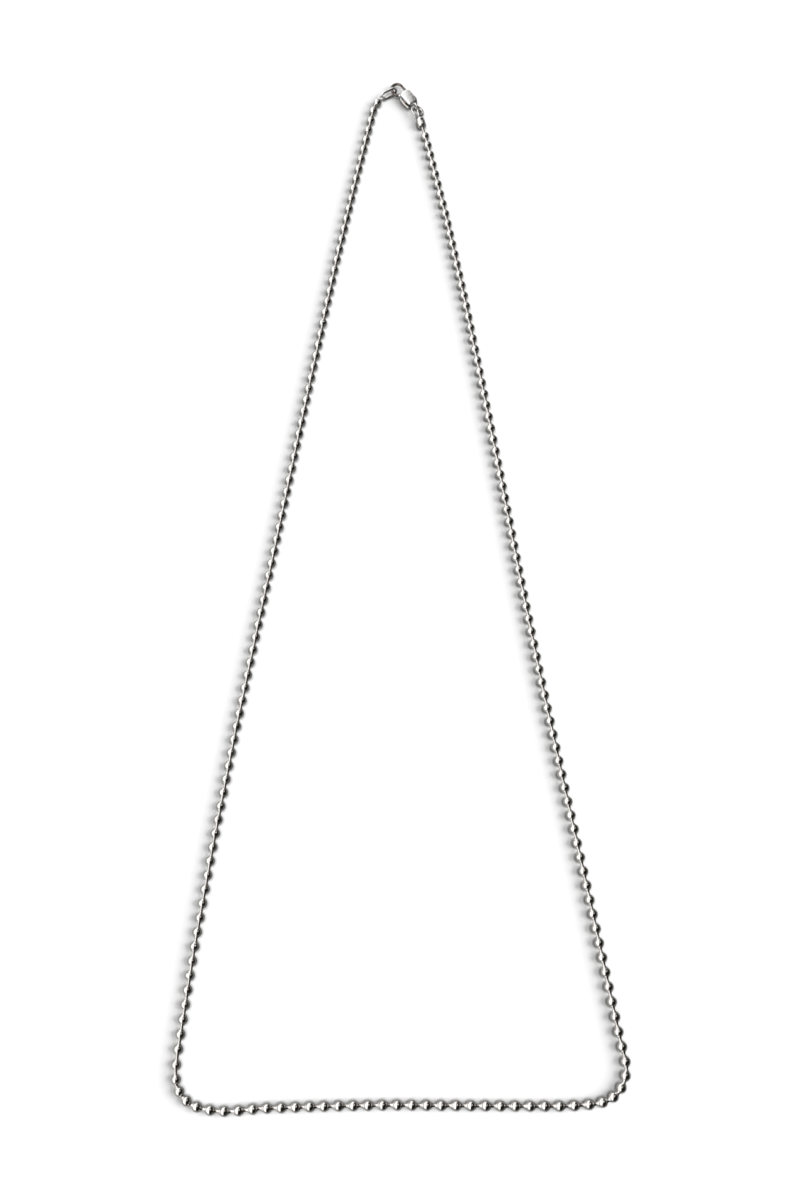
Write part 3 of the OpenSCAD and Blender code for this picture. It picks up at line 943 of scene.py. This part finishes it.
def thumb_outline():
    """A thin crescent with round ends, bowed away from the body."""
    outline = []
    end = THUMB_LENGTH / THUMB_BOW / 2
    centre = (thumb_at.x, thumb_at.y - THUMB_BOW)
    half = THUMB_WIDTH / 2
    for side in (1, -1):
        for t in np.linspace(-end, end, 20)[::side]:
            r = THUMB_BOW + half * side
            outline.append((centre[0] + r * math.sin(t), centre[1] + r * math.cos(t)))
        tip = (centre[0] + THUMB_BOW * math.sin(end * side), centre[1] + THUMB_BOW * math.cos(end * side))
        start = math.pi / 2 - end * side - (0 if side > 0 else math.pi)
        for k in range(1, 8):
            t = start - math.pi * k / 8
            outline.append((tip[0] + half * math.cos(t), tip[1] + half * math.sin(t)))
    return outline


def lever_shade(middles):
    """Bright on its thumb crescent, and dark with painted shade elsewhere."""
    from_centre = np.hypot(middles[:, 0] - thumb_at.x, middles[:, 1] - thumb_at.y + THUMB_BOW)
    return (from_centre < THUMB_BOW - THUMB_WIDTH / 2 + FINISH_AND_SHADE_END) * 1


def make_clasp_lever():
    """The hub, the gate bar, the arm and the thumb crescent in one, and the pin's bore."""
    gate_low, gate_tip = gate_root.y - GATE_WIDTH, head_x - GATE_GAP
    gate = [
        (PIVOT.x, PIVOT.y - HUB_R), (gate_root.x, gate_low), (gate_tip, gate_low),
        (gate_tip, gate_root.y), gate_root, (PIVOT.x, PIVOT.y + HUB_R),
    ]
    arm = [
        (PIVOT.x - HUB_R, PIVOT.y), (PIVOT.x + HUB_R, PIVOT.y), (THUMB_ROOT[1], thumb_at.y),
        (THUMB_ROOT[0], thumb_at.y),
    ]
    outlines = (circle(PIVOT, HUB_R), gate, arm, thumb_outline())
    slabs = [slab(outline, LEVER_T / 2, LEVER_ROUND) for outline in outlines]
    part = fused(joined(slabs), LEVER_VOXEL, 3)
    part = cut(part, extruded(circle(PIVOT, PIN_R + PIN_PLAY), LEVER_T))
    # Its thumb crescent is bright and the rest is the dark metal, as painted shade
    piece(
        "clasp_thumb_lever", part, CLASP, LEVER_METAL, LEVER, "clasp_lever", 50,
        (DARK_TONE_AND_SHADE,), lever_shade,
    )


def make_clasp_pin():
    """The rivet, its head filed down level with the plate."""
    half = CLASP_T / 2 - RIVET_LOW
    side = [(half - RIVET_EDGE, PIN_R), (half, PIN_R - RIVET_EDGE), (half, 0)]
    profile = [(-x, r) for x, r in side[::-1]] + side
    part = moved(lathe(profile, 64, False), Matrix.Rotation(-math.pi / 2, 4, "Y"))
    part = moved(part, Matrix.Translation((PIVOT.x, PIVOT.y, 0)))
    piece("clasp_rivet", part, CLASP, SATIN, NECKLACE, "clasp_pin", 40)


# Stage, in metres: a pale floor and even light with soft shadows to the left. The metal mirrors its own
# surroundings: a broad white screen on the left and far ahead, a dark room on the right with one dim card
# in it, and a greyer floor that turns white at FAR_FLOOR

FLOOR_REACH = 3.0
MIRRORED_Z = 0.00001
FAR_FLOOR_Z = 0.00002
FAR_FLOOR = 0.1465
MIRRORED_TONE = (0.3, 0.3, 0.29)
DOME_R = 2.5
DOME_ROWS = 24
DOME_COLUMNS = 48
SCREEN = 1.35
SCREEN_TONE = (1.0, 0.99, 0.975)
SCREEN_EDGE = -0.1
SCREEN_SLANT = 0.08
ROOM_DARK = 0.016
ROOM_TONE = (1.0, 0.84, 0.7)
CARD = 0.75
FAR_SHARE = 0.8
# What each light adds to the floor, where 1 is white: the sky, a screen overhead and one low on the right
SKY_SHARE = 0.35
SUNS = [
    # name, share, height and side in degrees, spread in degrees
    ("overhead", 0.15, 78, 0, 40),
    ("right", 0.6, 33, 1, 45),
]


def staged(name, points, faces, material):
    mesh = bpy.data.meshes.new(name)
    mesh.from_pydata(points, [], faces)
    mesh.materials.append(material)
    thing = bpy.data.objects.new(name, mesh)
    bpy.context.scene.collection.objects.link(thing)
    return thing


def seen_in_reflections_only(thing):
    thing.visible_camera = False
    thing.visible_diffuse = False
    thing.visible_shadow = False
    thing.visible_transmission = False


def level_sheet(z, near=-FLOOR_REACH):
    """A level square, or the part of it that lies farther on than near."""
    far = FLOOR_REACH
    return [(-far, near, z), (far, near, z), (far, far, z), (-far, far, z)], [(0, 1, 2, 3)]


def plain_material(name, tone, rough, metallic):
    material, nodes, links, shader = new_material(name)
    shader.inputs["Base Color"].default_value = (*tone, 1)
    shader.inputs["Roughness"].default_value = rough
    shader.inputs["Metallic"].default_value = metallic
    return material


def make_floor():
    """The floor that is seen, and just over it the two that the metal reflects."""
    floor = staged("floor", *level_sheet(0.0), floor_material())
    floor.visible_glossy = False
    mirrored = plain_material("mirrored_floor", MIRRORED_TONE, rough=0.42, metallic=0.7)
    seen_in_reflections_only(staged("mirrored_floor", *level_sheet(MIRRORED_Z), mirrored))
    far = plain_material("far_floor", (FLOOR_TONE,) * 3, rough=FLOOR_ROUGH, metallic=0.0)
    seen_in_reflections_only(staged("far_floor", *level_sheet(FAR_FLOOR_Z, FAR_FLOOR), far))


def make_world():
    world = bpy.data.worlds.new("studio")
    world.use_nodes = True
    background = world.node_tree.nodes["Background"]
    background.inputs["Color"].default_value = (1, 1, 1, 1)
    background.inputs["Strength"].default_value = SKY_SHARE / FLOOR_TONE
    bpy.context.scene.world = world


def surroundings_material():
    """Light by the way that it comes from, each edge a share of the unit vector: X to the right, Y ahead
    and Z up."""
    material, nodes, links, shader = new_material("surroundings")
    coords = nodes.new("ShaderNodeTexCoord")
    unit = nodes.new("ShaderNodeVectorMath")
    unit.operation = "NORMALIZE"
    links.new(coords.outputs["Object"], unit.inputs[0])
    parts = nodes.new("ShaderNodeSeparateXYZ")
    links.new(unit.outputs["Vector"], parts.inputs["Vector"])
    x, y, z = (parts.outputs[axis] for axis in "XYZ")

    def maths(operation, *values):
        return calculate(nodes, links, operation, *values)

    def up(value, low, high):
        return step_at(nodes, links, value, low, high)

    def down(value, low, high):
        return step_down(nodes, links, value, low, high)

    from_edge = maths("MULTIPLY_ADD", y, -SCREEN_SLANT, maths("ADD", x, -SCREEN_EDGE))
    screen = maths("MULTIPLY", down(from_edge, -0.05, 0.05), up(z, 0.0, 0.3))
    far = maths("MULTIPLY", up(y, 0.74, 0.9), down(x, 0.1, 0.3))
    screen = maths("MAXIMUM", screen, maths("MULTIPLY", far, FAR_SHARE))
    out_along = maths("MULTIPLY", maths("ADD", x, y), math.sqrt(0.5))
    across = maths("ABSOLUTE", maths("MULTIPLY", maths("SUBTRACT", x, y), math.sqrt(0.5)))
    card = maths("MULTIPLY", up(out_along, 0.0, 0.15), down(out_along, 0.6, 0.8))
    card = maths("MULTIPLY", card, down(across, 0.1, 0.26))
    level = maths("MULTIPLY_ADD", card, CARD, maths("MULTIPLY_ADD", screen, SCREEN, ROOM_DARK))
    glow = nodes.new("ShaderNodeEmission")
    tone = mixed(nodes, links, maths("MAXIMUM", screen, card), ROOM_TONE, SCREEN_TONE)
    links.new(tone, glow.inputs["Color"])
    links.new(level, glow.inputs["Strength"])
    links.new(glow.outputs["Emission"], nodes["Material Output"].inputs["Surface"])
    return material


def make_surroundings():
    """A dome right round the necklace, from overhead to a little below the floor."""
    points = []
    for i in range(DOME_ROWS + 1):
        lift = math.pi / 2 * (1 - 1.1 * i / DOME_ROWS)
        reach, z = DOME_R * math.cos(lift), DOME_R * math.sin(lift)
        for k in range(DOME_COLUMNS):
            turn = 2 * math.pi * k / DOME_COLUMNS
            points.append((reach * math.cos(turn), reach * math.sin(turn), z))
    faces = []
    for low in range(0, DOME_ROWS * DOME_COLUMNS, DOME_COLUMNS):
        high = low + DOME_COLUMNS
        for k in range(DOME_COLUMNS):
            n = (k + 1) % DOME_COLUMNS
            faces.append((low + k, low + n, high + n, high + k))
    seen_in_reflections_only(staged("surroundings", points, faces, surroundings_material()))


def make_suns():
    """Soft lights that cast the shadows, left out of the reflections, which have their own screen."""
    for name, share, height, side, width in SUNS:
        data = bpy.data.lights.new(name, "SUN")
        height, side = math.radians(height), math.radians(side)
        data.energy = share * math.pi / math.sin(height) / FLOOR_TONE
        data.angle = math.radians(width)
        sun = bpy.data.objects.new(name, data)
        flat = math.cos(height)
        towards = Vector((flat * math.cos(side), flat * math.sin(side), math.sin(height)))
        sun.rotation_euler = towards.to_track_quat("Z", "Y").to_euler()
        sun.visible_glossy = False
        bpy.context.scene.collection.objects.link(sun)


make_camera()
make_balls()
make_rods()
make_end_loop()
make_oblong_link()
make_jump_ring()
make_end_cap()
make_clasp_body()
make_clasp_lever()
make_clasp_pin()
make_floor()
make_world()
make_surroundings()
make_suns()
bpy.context.scene.view_settings.view_transform = "Standard"
